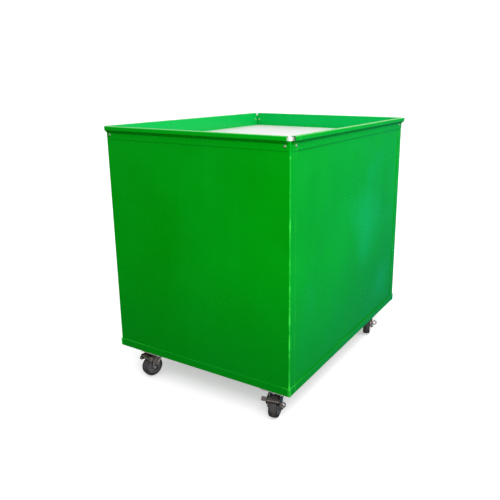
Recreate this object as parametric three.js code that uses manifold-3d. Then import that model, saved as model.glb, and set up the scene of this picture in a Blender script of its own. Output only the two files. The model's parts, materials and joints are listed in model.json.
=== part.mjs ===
// Wheeled sheet-steel tote with a spring-loaded rising platform.
// Millimetres, +Z up. Origin on the floor, under the centre of the body.
// +X is the right-hand side seen from the front, -Y is the front.
import * as THREE from 'three';
import { mergeVertices } from 'three/addons/utils/BufferGeometryUtils.js';
import Module from 'manifold-3d';

const wasm = await Module();
wasm.setup();

// Body
const HALF_WIDTH = 304;
const HALF_LENGTH = 400;
const BASE_Z = 80;
const RIM_Z = 760;
const SHEET = 1.2;
const LAP_GAP = 0.3;
const PANEL_TOP = RIM_Z - 11;
const BASE_THICKNESS = 2;
const PANEL_BOTTOM = BASE_Z + BASE_THICKNESS + SHEET + 2 * LAP_GAP;
const RETURN_WIDTH = 30;
const FOLD_RADIUS = 3.5;

// Insets of the lapped sheets, counted inwards from the outermost face of the body
const FRONT_SKIN_INSET = SHEET + LAP_GAP;
const SIDE_SKIN_INSET = FRONT_SKIN_INSET + SHEET + LAP_GAP;
const POST_INSET_SIDE = SIDE_SKIN_INSET + SHEET + LAP_GAP;
const POST_INSET_FRONT = FRONT_SKIN_INSET + SHEET + LAP_GAP;

// Bottom rail
const BOTTOM_BAND = 22;
const BOTTOM_LEG = 30;

// Top rail: a folded cap with an outward lip, open at its two ends
const LIP_OVERHANG = 10;
const LIP_FASCIA = 10.5;
const LIP_SLANT_END = 19;
const TOP_BAND_END = 36;
const INNER_FACE_INSET = 6;
const INNER_FACE_DEPTH = 46;
const STOP_FLANGE = 8;
const RAIL_END_INSET = 7;
const RAIL_BEND = 1.8;

// Inner corner posts
const POST_FLANGE = 26;
const POST_THICKNESS = 1.5;
const POST_TOP = RIM_Z - 50;

// Platform and its springs
const DECK_THICKNESS = 12;
const DECK_TOP = RIM_Z - INNER_FACE_DEPTH - SHEET - LAP_GAP;
const DECK_CLEARANCE = 2.5;
const DECK_CORNER = 6;
const DECK_RISE = 0.8;
const DECK_EDGE_GAP = 1.2;
const SPRING_X = 190;
const SPRING_Y = 270;
const BEARER_WIDTH = 36;
const BEARER_THICKNESS = 8;
const BEARER_HALF_LENGTH = 340;
const SEAT_RADIUS = 34;
const SEAT_THICKNESS = 2.4;
const SPIGOT_RADIUS = 24;
const SPIGOT_LENGTH = 14;
const COIL_RADIUS = 29;
const WIRE_RADIUS = 2.2;
const COIL_TURNS = 8;
const COIL_STEPS = 8;

// Casters: heights are counted down from the underside of the body
const PLATE_SIZE = 75;
const PLATE_THICKNESS = 2.5;
const PLATE_CORNER = 6;
const BOLT_SPACING = 56;
const BOLT_HOLE = 4.2;
const RACE_RADIUS = 20;
const RACE_BOTTOM = 5.4;
const KINGPIN_RADIUS = 5;
const KINGPIN_HOLE = 5.8;
const TRAIL = 24;
const WHEEL_RADIUS = 31;
const TYRE_HALF_WIDTH = 12;
const RIM_RADIUS = 22;
const AXLE_RADIUS = 4;
const AXLE_DROP = BASE_Z - WHEEL_RADIUS;
const FORK_HALF_WIDTH = 17;
const FORK_LEG = 2.5;
const FORK_TOP = 5.7;
const FORK_BRIDGE = 3;
const PEDAL_PIVOT_X = 14;
const PEDAL_PIVOT_DROP = 12.6;
const PEDAL_PIN_RADIUS = 2.5;
const PEDAL_ARM_GAP = 0.6;
const PEDAL_ARM = 1.8;
const PEDAL_TRAVEL = THREE.MathUtils.degToRad(16);
const TREAD_REACH = 8;
const TREAD_LIP = 4;
const EAR_X = 43;
const EAR_Y = 27;
const RING_DROP = 25;
const TAB_DROP = 14;
const EAR_RADIUS = 8;
const EAR_HOLE = 4.2;
const EAR_TILT = THREE.MathUtils.degToRad(45);

// Where each caster swivels, the way its wheel trails, the side of the pedal's ring, and brake on or off
const CASTERS = [
  { name: 'front_left', x: -187, y: -361.5, trailDegrees: -105, ringSide: -1, brakeOn: false },
  { name: 'front_right', x: 246, y: -361.5, trailDegrees: -78, ringSide: 1, brakeOn: true },
  { name: 'rear_right', x: 259, y: 254.5, trailDegrees: -69, ringSide: 1, brakeOn: true },
  { name: 'rear_left', x: -187, y: 254.5, trailDegrees: -112, ringSide: -1, brakeOn: false },
];

function material(color, roughness, metalness) {
  return new THREE.MeshStandardMaterial({ color, roughness, metalness });
}

const greenPaint = () => material(0x03a02a, 0.38, 0);
const zincSteel = () => material(0x8d8a84, 0.42, 0.9);
const springSteel = () => material(0x4b4d50, 0.4, 0.9);

const tote = new THREE.Group();

function addMesh(parent, name, geometry, surface) {
  const mesh = new THREE.Mesh(geometry, surface);
  mesh.name = name;
  parent.add(mesh);
  return mesh;
}

// Booleans: a closed geometry becomes a manifold solid and back
function solidOf(geometry) {
  const bare = geometry.index ? geometry.toNonIndexed() : geometry.clone();
  bare.deleteAttribute('normal');
  bare.deleteAttribute('uv');
  const merged = mergeVertices(bare, 1e-4);
  return new wasm.Manifold(new wasm.Mesh({
    numProp: 3,
    vertProperties: new Float32Array(merged.attributes.position.array),
    triVerts: new Uint32Array(merged.index.array),
  }));
}

function geometryOf(solid) {
  const mesh = solid.getMesh();
  const geometry = new THREE.BufferGeometry();
  geometry.setAttribute('position', new THREE.BufferAttribute(mesh.vertProperties, 3));
  geometry.setIndex(new THREE.BufferAttribute(mesh.triVerts, 1));
  return geometry;
}

function joined(geometries, cuts = []) {
  let result = solidOf(geometries[0]);
  for (const piece of geometries.slice(1)) {
    result = result.add(solidOf(piece));
  }
  for (const cut of cuts) {
    result = result.subtract(solidOf(cut));
  }
  return geometryOf(result);
}

// Simple solids placed by their limits
function block(x0, x1, y0, y1, z0, z1) {
  const box = new THREE.BoxGeometry(x1 - x0, y1 - y0, z1 - z0);
  return box.translate((x0 + x1) / 2, (y0 + y1) / 2, (z0 + z1) / 2);
}

function upright(shape, z0, z1, curveSegments = 6) {
  const options = { depth: z1 - z0, bevelEnabled: false, curveSegments };
  return new THREE.ExtrudeGeometry(shape, options).translate(0, 0, z0);
}

function rod(radius, y0, y1, x, z, segments = 24) {
  const cylinder = new THREE.CylinderGeometry(radius, radius, y1 - y0, segments);
  return cylinder.translate(x, (y0 + y1) / 2, z);
}

function roundedRectangle(halfX, halfY, radius) {
  const shape = new THREE.Shape();
  shape.absarc(halfX - radius, -halfY + radius, radius, -Math.PI / 2, 0);
  shape.absarc(halfX - radius, halfY - radius, radius, 0, Math.PI / 2);
  shape.absarc(-halfX + radius, halfY - radius, radius, Math.PI / 2, Math.PI);
  shape.absarc(-halfX + radius, -halfY + radius, radius, Math.PI, 1.5 * Math.PI);
  shape.closePath();
  return shape;
}

function holeAt(x, y, radius) {
  const path = new THREE.Path();
  path.absarc(x, y, radius, 0, 2 * Math.PI, true);
  return path;
}

// Folded sheet: a centre line with rounded folds, thickened to both sides
function foldedLine(corners, radius, steps) {
  const line = [corners[0]];
  for (let i = 1; i < corners.length - 1; i += 1) {
    const before = corners[i - 1].clone().sub(corners[i]).normalize();
    const after = corners[i + 1].clone().sub(corners[i]).normalize();
    const halfTurn = Math.acos(THREE.MathUtils.clamp(before.dot(after), -1, 1)) / 2;
    const setback = radius / Math.tan(halfTurn);
    const start = corners[i].clone().addScaledVector(before, setback);
    const end = corners[i].clone().addScaledVector(after, setback);
    const bisector = before.clone().add(after).normalize();
    const centre = corners[i].clone().addScaledVector(bisector, radius / Math.sin(halfTurn));
    const from = start.clone().sub(centre).angle();
    let sweep = end.clone().sub(centre).angle() - from;
    sweep = Math.atan2(Math.sin(sweep), Math.cos(sweep));
    for (let k = 0; k <= steps; k += 1) {
      const angle = from + (sweep * k) / steps;
      line.push(new THREE.Vector2(Math.cos(angle), Math.sin(angle)).multiplyScalar(radius).add(centre));
    }
  }
  line.push(corners[corners.length - 1]);
  return line;
}

function foldedSheet(points, thickness, radius, steps = 3) {
  const line = foldedLine(points.map(([x, y]) => new THREE.Vector2(x, y)), radius, steps);
  const runs = line.slice(1).map((point, i) => point.clone().sub(line[i]).normalize());
  const left = [];
  const right = [];
  line.forEach((point, i) => {
    const into = runs[Math.max(i - 1, 0)];
    const out = runs[Math.min(i, runs.length - 1)];
    const run = into.clone().add(out).normalize();
    const normal = new THREE.Vector2(-run.y, run.x);
    const reach = thickness / 2 / run.dot(into);
    left.push(point.clone().addScaledVector(normal, reach));
    right.push(point.clone().addScaledVector(normal, -reach));
  });
  return new THREE.Shape([...left, ...right.reverse()]);
}

// A rail profile is drawn as (outward from the body's face, height). It runs along X on the front (-Y) side.
// endAt(outward) gives how far the rail reaches from its middle at that depth.
function frontRail(profile, faceDistance, endAt) {
  const rail = new THREE.ExtrudeGeometry(profile, { depth: 2, bevelEnabled: false });
  rail.translate(0, 0, -1);
  const outward = new THREE.Vector3(0, -1, 0);
  const up = new THREE.Vector3(0, 0, 1);
  const along = new THREE.Vector3(-1, 0, 0);
  rail.applyMatrix4(new THREE.Matrix4().makeBasis(outward, up, along));
  const position = rail.attributes.position;
  for (let i = 0; i < position.count; i += 1) {
    position.setX(i, Math.sign(position.getX(i)) * endAt(-position.getY(i)));
  }
  return rail.translate(0, -faceDistance, 0);
}

const SIDES = [
  { name: 'front', turns: 0, face: HALF_LENGTH, reach: HALF_WIDTH },
  { name: 'right', turns: 1, face: HALF_WIDTH, reach: HALF_LENGTH },
  { name: 'back', turns: 2, face: HALF_LENGTH, reach: HALF_WIDTH },
  { name: 'left', turns: 3, face: HALF_WIDTH, reach: HALF_LENGTH },
];

function addRails(prefix, profile, endFor) {
  for (const side of SIDES) {
    const solid = frontRail(profile, side.face, endFor(side));
    const rail = addMesh(tote, `${prefix}_${side.name}`, solid, greenPaint());
    rail.rotation.z = (side.turns * Math.PI) / 2;
  }
}

// Base tray: a floor plate with four mitred angle rails round its edge
function addBase() {
  const halfX = HALF_WIDTH - SHEET - LAP_GAP;
  const halfY = HALF_LENGTH - SHEET - LAP_GAP;
  const plate = block(-halfX, halfX, -halfY, halfY, BASE_Z, BASE_Z + BASE_THICKNESS);
  addMesh(tote, 'base_plate', plate, greenPaint());
  const legZ = BASE_Z + BASE_THICKNESS + LAP_GAP;
  const profile = new THREE.Shape([
    new THREE.Vector2(0, BASE_Z),
    new THREE.Vector2(0, BASE_Z + BOTTOM_BAND),
    new THREE.Vector2(-SHEET, BASE_Z + BOTTOM_BAND),
    new THREE.Vector2(-SHEET, legZ + SHEET),
    new THREE.Vector2(-BOTTOM_LEG, legZ + SHEET),
    new THREE.Vector2(-BOTTOM_LEG, legZ),
    new THREE.Vector2(-SHEET, legZ),
    new THREE.Vector2(-SHEET, BASE_Z),
  ]);
  addRails('bottom_rail', profile, (side) => (outward) => side.reach + outward - LAP_GAP / 2);
}

// Front and back skins wrap round the corners; the side skins tuck behind those returns
function addSkins() {
  const outX = HALF_WIDTH - FRONT_SKIN_INSET - SHEET / 2;
  const outY = HALF_LENGTH - FRONT_SKIN_INSET - SHEET / 2;
  const returnY = HALF_LENGTH - RETURN_WIDTH;
  for (const [name, sign] of [['front_panel', -1], ['back_panel', 1]]) {
    const outline = foldedSheet([
      [-outX, sign * returnY],
      [-outX, sign * outY],
      [outX, sign * outY],
      [outX, sign * returnY],
    ], SHEET, FOLD_RADIUS, 5);
    addMesh(tote, name, upright(outline, PANEL_BOTTOM, PANEL_TOP), greenPaint());
  }
  const halfY = HALF_LENGTH - FRONT_SKIN_INSET - SHEET - LAP_GAP;
  const cornerRelief = FOLD_RADIUS;
  const outer = HALF_WIDTH - SIDE_SKIN_INSET;
  for (const [name, sign] of [['left_panel', -1], ['right_panel', 1]]) {
    const near = Math.min(sign * outer, sign * (outer - SHEET));
    const reach = halfY - cornerRelief;
    const skin = block(near, near + SHEET, -reach, reach, PANEL_BOTTOM, PANEL_TOP);
    addMesh(tote, name, skin, greenPaint());
  }
}

function addPosts() {
  const x = HALF_WIDTH - POST_INSET_SIDE - POST_THICKNESS / 2;
  const y = HALF_LENGTH - POST_INSET_FRONT - POST_THICKNESS / 2;
  for (const [endName, signY] of [['front', -1], ['rear', 1]]) {
    for (const [sideName, signX] of [['left', -1], ['right', 1]]) {
      const outline = foldedSheet([
        [signX * (x - POST_FLANGE), signY * y],
        [signX * x, signY * y],
        [signX * x, signY * (y - POST_FLANGE)],
      ], POST_THICKNESS, FOLD_RADIUS);
      const post = upright(outline, PANEL_BOTTOM, POST_TOP);
      addMesh(tote, `corner_post_${endName}_${sideName}`, post, greenPaint());
    }
  }
}

function addTopRails() {
  const half = SHEET / 2;
  const outline = foldedSheet([
    [-half, RIM_Z - TOP_BAND_END],
    [-half, RIM_Z - LIP_SLANT_END],
    [LIP_OVERHANG - half, RIM_Z - LIP_FASCIA],
    [LIP_OVERHANG - half, RIM_Z - half],
    [-INNER_FACE_INSET + half, RIM_Z - half],
    [-INNER_FACE_INSET + half, RIM_Z - INNER_FACE_DEPTH - half],
    [-INNER_FACE_INSET - STOP_FLANGE, RIM_Z - INNER_FACE_DEPTH - half],
  ], SHEET, RAIL_BEND);
  // The stop flanges are mitred where two rails meet inside the corner
  const endFor = (side) => (outward) => {
    const insideFace = Math.max(0, -INNER_FACE_INSET - outward);
    return side.reach - RAIL_END_INSET - insideFace;
  };
  addRails('top_rail', outline, endFor);
}

// Platform: a white board on two steel bearers, carried by four springs.
// The board's edge is rebated, so that its top face passes up between the rails' stop flanges.
function seatProfile() {
  return [
    new THREE.Vector2(0, 0),
    new THREE.Vector2(SEAT_RADIUS, 0),
    new THREE.Vector2(SEAT_RADIUS, SEAT_THICKNESS),
    new THREE.Vector2(SPIGOT_RADIUS, SEAT_THICKNESS),
    new THREE.Vector2(SPIGOT_RADIUS, SEAT_THICKNESS + SPIGOT_LENGTH - 3),
    new THREE.Vector2(SPIGOT_RADIUS - 3, SEAT_THICKNESS + SPIGOT_LENGTH),
    new THREE.Vector2(0, SEAT_THICKNESS + SPIGOT_LENGTH),
  ];
}

class Helix extends THREE.Curve {
  constructor(radius, z0, z1, turns) {
    super();
    Object.assign(this, { radius, z0, z1, turns });
  }

  getPoint(t, target = new THREE.Vector3()) {
    const angle = 2 * Math.PI * this.turns * t;
    const height = THREE.MathUtils.lerp(this.z0, this.z1, t);
    return target.set(this.radius * Math.cos(angle), this.radius * Math.sin(angle), height);
  }
}

function springGeometry(z0, z1) {
  const helix = new Helix(COIL_RADIUS, z0 + WIRE_RADIUS, z1 - WIRE_RADIUS, COIL_TURNS);
  const wire = new THREE.Shape().absarc(0, 0, WIRE_RADIUS, 0, 2 * Math.PI);
  return new THREE.ExtrudeGeometry(wire, {
    steps: COIL_TURNS * COIL_STEPS,
    curveSegments: 2,
    extrudePath: helix,
  });
}

function addPlatform() {
  const halfX = HALF_WIDTH - POST_INSET_SIDE - POST_THICKNESS - DECK_CLEARANCE;
  const halfY = HALF_LENGTH - POST_INSET_FRONT - POST_THICKNESS - DECK_CLEARANCE;
  const deckBottom = DECK_TOP - DECK_THICKNESS;
  const flangeTip = INNER_FACE_INSET + STOP_FLANGE + DECK_EDGE_GAP;
  const raised = roundedRectangle(HALF_WIDTH - flangeTip, HALF_LENGTH - flangeTip, DECK_CORNER);
  const deck = joined([
    upright(roundedRectangle(halfX, halfY, DECK_CORNER), deckBottom, DECK_TOP, 3),
    upright(raised, DECK_TOP - 1, DECK_TOP + DECK_RISE, 3),
  ]);
  addMesh(tote, 'platform_deck', deck, material(0xe4e1e1, 0.45, 0));

  const bearerTop = deckBottom - LAP_GAP;
  const bearerBottom = bearerTop - BEARER_THICKNESS;
  const lowerSeatZ = BASE_Z + BASE_THICKNESS + LAP_GAP;
  const upperSeatZ = bearerBottom - LAP_GAP;
  for (const [sideName, signX] of [['left', -1], ['right', 1]]) {
    const outline = roundedRectangle(BEARER_WIDTH / 2, BEARER_HALF_LENGTH, 4);
    const bearer = upright(outline, bearerBottom, bearerTop, 2);
    addMesh(tote, `platform_bearer_${sideName}`, bearer, zincSteel()).position.x = signX * SPRING_X;
    for (const [endName, signY] of [['front', -1], ['rear', 1]]) {
      const place = (mesh, z) => mesh.position.set(signX * SPRING_X, signY * SPRING_Y, z);
      const label = `${endName}_${sideName}`;
      const lowerSeat = new THREE.LatheGeometry(seatProfile(), 16);
      const lower = addMesh(tote, `spring_seat_lower_${label}`, lowerSeat, zincSteel());
      lower.rotation.x = Math.PI / 2;
      place(lower, lowerSeatZ);
      const upperSeat = new THREE.LatheGeometry(seatProfile(), 16);
      const upper = addMesh(tote, `spring_seat_upper_${label}`, upperSeat, zincSteel());
      upper.rotation.x = -Math.PI / 2;
      place(upper, upperSeatZ);
      const restsOn = lowerSeatZ + SEAT_THICKNESS + LAP_GAP;
      const pushesOn = upperSeatZ - SEAT_THICKNESS - LAP_GAP;
      place(addMesh(tote, `spring_${label}`, springGeometry(restsOn, pushesOn), springSteel()), 0);
    }
  }
}

// Caster parts, drawn about the swivel axis. The wheel trails towards +X, and z = 0 is the body's underside
function topPlate() {
  const square = roundedRectangle(PLATE_SIZE / 2, PLATE_SIZE / 2, PLATE_CORNER);
  for (const signX of [-1, 1]) {
    for (const signY of [-1, 1]) {
      square.holes.push(holeAt((signX * BOLT_SPACING) / 2, (signY * BOLT_SPACING) / 2, BOLT_HOLE));
    }
  }
  square.holes.push(holeAt(0, 0, KINGPIN_HOLE));
  const race = new THREE.Shape().absarc(0, 0, RACE_RADIUS, 0, 2 * Math.PI);
  race.holes.push(holeAt(0, 0, KINGPIN_RADIUS + 4));
  return joined([
    upright(square, -PLATE_THICKNESS - LAP_GAP, -LAP_GAP, 4),
    upright(race, -RACE_BOTTOM, -PLATE_THICKNESS, 8),
  ]);
}

function kingpin() {
  const bridgeBottom = -FORK_TOP - FORK_BRIDGE;
  const headTop = bridgeBottom - LAP_GAP;
  const profile = [
    new THREE.Vector2(0, headTop - 3),
    new THREE.Vector2(6, headTop - 3),
    new THREE.Vector2(8.5, headTop - 1),
    new THREE.Vector2(8.5, headTop),
    new THREE.Vector2(KINGPIN_RADIUS, headTop),
    new THREE.Vector2(KINGPIN_RADIUS, -LAP_GAP),
    new THREE.Vector2(0, -LAP_GAP),
  ];
  return new THREE.LatheGeometry(profile, 12).rotateX(Math.PI / 2);
}

function acrossFork(shape, y0, y1) {
  const slab = new THREE.ExtrudeGeometry(shape, { depth: y1 - y0, bevelEnabled: false, curveSegments: 5 });
  return slab.rotateX(Math.PI / 2).translate(0, y1, 0);
}

function fork() {
  const side = new THREE.Shape();
  side.moveTo(-21, -FORK_TOP);
  side.lineTo(-21, -FORK_TOP - 5);
  side.lineTo(TRAIL - 12, -AXLE_DROP + 4);
  side.absarc(TRAIL, -AXLE_DROP, 9.5, Math.PI, 2 * Math.PI);
  side.lineTo(TRAIL + 8, -AXLE_DROP + 20);
  side.lineTo(TRAIL + 3, -FORK_TOP);
  side.closePath();
  const inside = FORK_HALF_WIDTH - FORK_LEG;
  const bridgeBottom = -FORK_TOP - FORK_BRIDGE;
  const kingpinHole = new THREE.Shape().absarc(0, 0, KINGPIN_HOLE, 0, 2 * Math.PI);
  return joined([acrossFork(side, -FORK_HALF_WIDTH, FORK_HALF_WIDTH)], [
    block(-60, 60, -inside, inside, -90, bridgeBottom),
    upright(kingpinHole, -30, 0, 6),
    rod(AXLE_RADIUS + 0.3, -30, 30, TRAIL, -AXLE_DROP, 16),
    rod(PEDAL_PIN_RADIUS + 0.25, -30, 30, PEDAL_PIVOT_X, -PEDAL_PIVOT_DROP, 12),
  ]);
}

function axle() {
  const headInner = FORK_HALF_WIDTH + LAP_GAP;
  const headOuter = headInner + 4.5;
  const hexRadius = 7.2;
  return joined([
    rod(AXLE_RADIUS, -headOuter, headOuter + 1.5, TRAIL, -AXLE_DROP, 16),
    rod(hexRadius, headInner, headOuter, TRAIL, -AXLE_DROP, 6),
    rod(hexRadius, -headOuter, -headInner, TRAIL, -AXLE_DROP, 6),
  ]);
}

function turnedRing(halfProfile, segments) {
  const mirrored = halfProfile.map(([radius, y]) => [radius, -y]).reverse();
  const outline = [...mirrored, ...halfProfile].map(([radius, y]) => new THREE.Vector2(radius, y));
  outline.push(outline[0].clone());
  return new THREE.LatheGeometry(outline, segments).translate(TRAIL, 0, -AXLE_DROP);
}

function hub() {
  return turnedRing([
    [RIM_RADIUS, 11],
    [RIM_RADIUS - 2.5, 11],
    [RIM_RADIUS - 4.5, 6],
    [9, 6],
    [8, 13.5],
    [AXLE_RADIUS + 0.1, 13.5],
  ], 16);
}

function tyre() {
  return turnedRing([
    [WHEEL_RADIUS, 7],
    [WHEEL_RADIUS - 1.2, 10],
    [WHEEL_RADIUS - 4, TYRE_HALF_WIDTH],
    [RIM_RADIUS + LAP_GAP, TYRE_HALF_WIDTH - 0.5],
  ], 32);
}

function pedalEar(withHole, side) {
  const ear = new THREE.Shape();
  ear.moveTo(-3.5, -EAR_RADIUS - 1.5);
  ear.lineTo(3.5, -EAR_RADIUS - 1.5);
  ear.lineTo(3.5, -EAR_RADIUS + 2);
  ear.absarc(0, 0, EAR_RADIUS, -Math.PI * 0.36, Math.PI * 1.36);
  ear.lineTo(-3.5, -EAR_RADIUS + 2);
  ear.closePath();
  if (withHole) {
    ear.holes.push(holeAt(0, 0, EAR_HOLE));
  }
  const plate = upright(ear, -1, 1, 7);
  if (side < 0) {
    plate.rotateZ(Math.PI);
  }
  return plate.rotateY(EAR_TILT).translate(EAR_X, side * EAR_Y, withHole ? -RING_DROP : -TAB_DROP);
}

function pedal(ringSide) {
  const arm = new THREE.Shape();
  arm.absarc(PEDAL_PIVOT_X, -PEDAL_PIVOT_DROP, 4, Math.PI / 2, 1.5 * Math.PI);
  arm.lineTo(EAR_X - 10, -PEDAL_PIVOT_DROP - 4);
  arm.lineTo(EAR_X - 4, -RING_DROP - 3);
  arm.lineTo(EAR_X + 5, -RING_DROP - 3);
  arm.lineTo(EAR_X + 7, -PEDAL_PIVOT_DROP);
  arm.lineTo(EAR_X + 5, -PEDAL_PIVOT_DROP + 3);
  arm.closePath();
  const armInner = FORK_HALF_WIDTH + PEDAL_ARM_GAP;
  const armOuter = armInner + PEDAL_ARM;
  const treadBottom = -PEDAL_PIVOT_DROP - 0.5;
  const treadTop = treadBottom + 2;
  const treadFront = EAR_X + TREAD_REACH;
  const tread = block(EAR_X - 6, treadFront, -armOuter, armOuter, treadBottom, treadTop);
  const lipBottom = -PEDAL_PIVOT_DROP - TREAD_LIP;
  const lip = block(treadFront - PEDAL_ARM, treadFront, -armOuter, armOuter, lipBottom, treadTop);
  return joined([
    acrossFork(arm, armInner, armOuter),
    acrossFork(arm, -armOuter, -armInner),
    tread,
    lip,
    rod(PEDAL_PIN_RADIUS, -armOuter - 1, armOuter + 1, PEDAL_PIVOT_X, -PEDAL_PIVOT_DROP, 12),
    pedalEar(true, ringSide),
    pedalEar(false, -ringSide),
  ]);
}

function addCaster({ name, x, y, trailDegrees, ringSide, brakeOn }) {
  const fixed = new THREE.Group();
  fixed.position.set(x, y, BASE_Z);
  tote.add(fixed);
  addMesh(fixed, `caster_plate_${name}`, topPlate(), zincSteel());
  addMesh(fixed, `caster_kingpin_${name}`, kingpin(), zincSteel());

  const swivel = new THREE.Group();
  swivel.rotation.z = THREE.MathUtils.degToRad(trailDegrees);
  fixed.add(swivel);
  addMesh(swivel, `caster_fork_${name}`, fork(), zincSteel());
  addMesh(swivel, `caster_axle_${name}`, axle(), zincSteel());
  addMesh(swivel, `caster_hub_${name}`, hub(), material(0x5b5960, 0.5, 0));
  addMesh(swivel, `caster_tyre_${name}`, tyre(), material(0x242325, 0.65, 0));

  const pivot = new THREE.Group();
  pivot.position.set(PEDAL_PIVOT_X, 0, -PEDAL_PIVOT_DROP);
  pivot.rotation.y = brakeOn ? PEDAL_TRAVEL : 0;
  swivel.add(pivot);
  const pedalAtPivot = pedal(ringSide).translate(-PEDAL_PIVOT_X, 0, PEDAL_PIVOT_DROP);
  addMesh(pivot, `brake_pedal_${name}`, pedalAtPivot, material(0x3a3634, 0.45, 0.6));
}

addBase();
addSkins();
addPosts();
addTopRails();
addPlatform();
CASTERS.forEach(addCaster);

export default tote;
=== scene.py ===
"""Looks, light and camera for a wheeled sheet-steel tote with a rising platform. Metres, +Z up, front -Y."""
import json
import math

import bmesh
import bpy
from mathutils import Matrix, Vector, noise
from mathutils.geometry import delaunay_2d_cdt, interpolate_bezier


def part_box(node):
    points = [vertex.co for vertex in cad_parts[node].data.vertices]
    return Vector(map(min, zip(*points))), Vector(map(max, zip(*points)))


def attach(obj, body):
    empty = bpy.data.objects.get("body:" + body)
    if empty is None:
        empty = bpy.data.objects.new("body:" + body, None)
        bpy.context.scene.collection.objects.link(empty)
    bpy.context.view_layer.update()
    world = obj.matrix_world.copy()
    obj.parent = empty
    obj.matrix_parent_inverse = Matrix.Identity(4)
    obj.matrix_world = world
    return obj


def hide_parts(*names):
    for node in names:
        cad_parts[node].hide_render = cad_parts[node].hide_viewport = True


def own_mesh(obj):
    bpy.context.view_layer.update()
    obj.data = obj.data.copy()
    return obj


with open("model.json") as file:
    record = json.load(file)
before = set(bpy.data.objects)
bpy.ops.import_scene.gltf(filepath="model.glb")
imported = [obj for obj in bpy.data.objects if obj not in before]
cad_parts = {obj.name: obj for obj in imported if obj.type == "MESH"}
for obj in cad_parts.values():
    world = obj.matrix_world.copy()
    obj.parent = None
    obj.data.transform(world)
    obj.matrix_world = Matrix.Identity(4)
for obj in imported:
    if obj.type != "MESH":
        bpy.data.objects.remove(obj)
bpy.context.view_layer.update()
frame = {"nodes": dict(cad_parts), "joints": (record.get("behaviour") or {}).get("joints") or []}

MM = 0.001
JOINTS = {joint["name"]: joint for joint in frame["joints"]}
CORNERS = ("front_left", "front_right", "rear_left", "rear_right")

# Places and sizes taken from the frame
FACE_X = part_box("bottom_rail_right")[1].x
FACE_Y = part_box("bottom_rail_back")[1].y
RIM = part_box("top_rail_front")[1].z
RAIL_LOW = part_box("top_rail_front")[0].z
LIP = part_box("top_rail_right")[1].x - FACE_X
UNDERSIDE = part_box("base_plate")[0].z
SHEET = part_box("right_panel")[1].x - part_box("right_panel")[0].x
SEAM_Y = -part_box("front_panel")[1].y
LEDGE_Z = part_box("bottom_rail_front")[1].z

# Height at which the painted shade towards the bottom begins
SHADE_TOP = 0.42

# Folds and waves of the sheets
SKIN_FOLD = 3.5 * MM
RAIL_BEND = 1.8 * MM
RAIL_BAND = 36 * MM
RAIL_SLANT = 19 * MM
RAIL_FASCIA = 10.5 * MM
RAIL_INNER_INSET = 6 * MM
STOP_FLANGE = 14 * MM
WAVE_REACH = 90 * MM
POST_COVER = 26 * MM
GRID = 24 * MM

# Rivets, corner clips, spot welds and screws
RIVET_DROP = 24.5 * MM
RIVET_FROM_END = 9.5 * MM
RIVET_RADIUS = 4 * MM
RIVET_HEIGHT = 1.9 * MM
RIM_OF_RIVET = 0.4 * MM
SUNK = 0.2 * MM
CLIP_DROP = 11.5 * MM
CLIP_TOP = 1.7 * MM
CLIP_OUT = 2.6 * MM
CLIP_ARM = 24 * MM
CLIP_BEND = 14 * MM
RAIL_NOTCH = 3.5 * MM
RAIL_RIPPLE = 0.13 * MM
WELD_PITCH = 48 * MM
WELD_FROM_CORNER = 15 * MM
WELD_RADIUS = 3.4 * MM
HEX_RADIUS = 5.7 * MM
WASHER = 1.1 * MM

# Platform and springs
REBATE_DEPTH = 0.8 * MM
REBATE_INSET = 15.2 * MM
SCREW_ROWS = (-325 * MM, -90 * MM, 90 * MM, 325 * MM)
SPRING_WIRE = 2.2 * MM
SPRING_TURNS = 11
SPRING_CLOSED = 1.1

# Caster, drawn about its swivel axis with the wheel trailing towards +X and z = 0 at the body's underside
TRAIL = 24 * MM
WHEEL_RADIUS = 31 * MM
AXLE_Z = WHEEL_RADIUS - UNDERSIDE
TYRE_HALF = 12 * MM
RIM_RADIUS = 22 * MM
FORK_HALF = 17 * MM
FORK_SHEET = 2.5 * MM
FORK_TOP = 5.7 * MM
FORK_BEND = 4.5 * MM
PLATE_HALF = 37.5 * MM
PLATE_SHEET = 2.5 * MM
PLATE_GAP = 0.3 * MM
BOLT_OFFSET = 28 * MM
PEDAL_X = 43 * MM
PEDAL_PIVOT_X = 14 * MM
PEDAL_PIVOT_Z = -12.6 * MM
EAR_Y = 27 * MM
RING_Z = -25 * MM
TAB_Z = -14 * MM
TREAD_FRONT = 51 * MM
TREAD_LIP = 3.8 * MM
RING_SIDE = {"front_left": -1, "front_right": 1, "rear_left": -1, "rear_right": 1}


# ------------ materials

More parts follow.
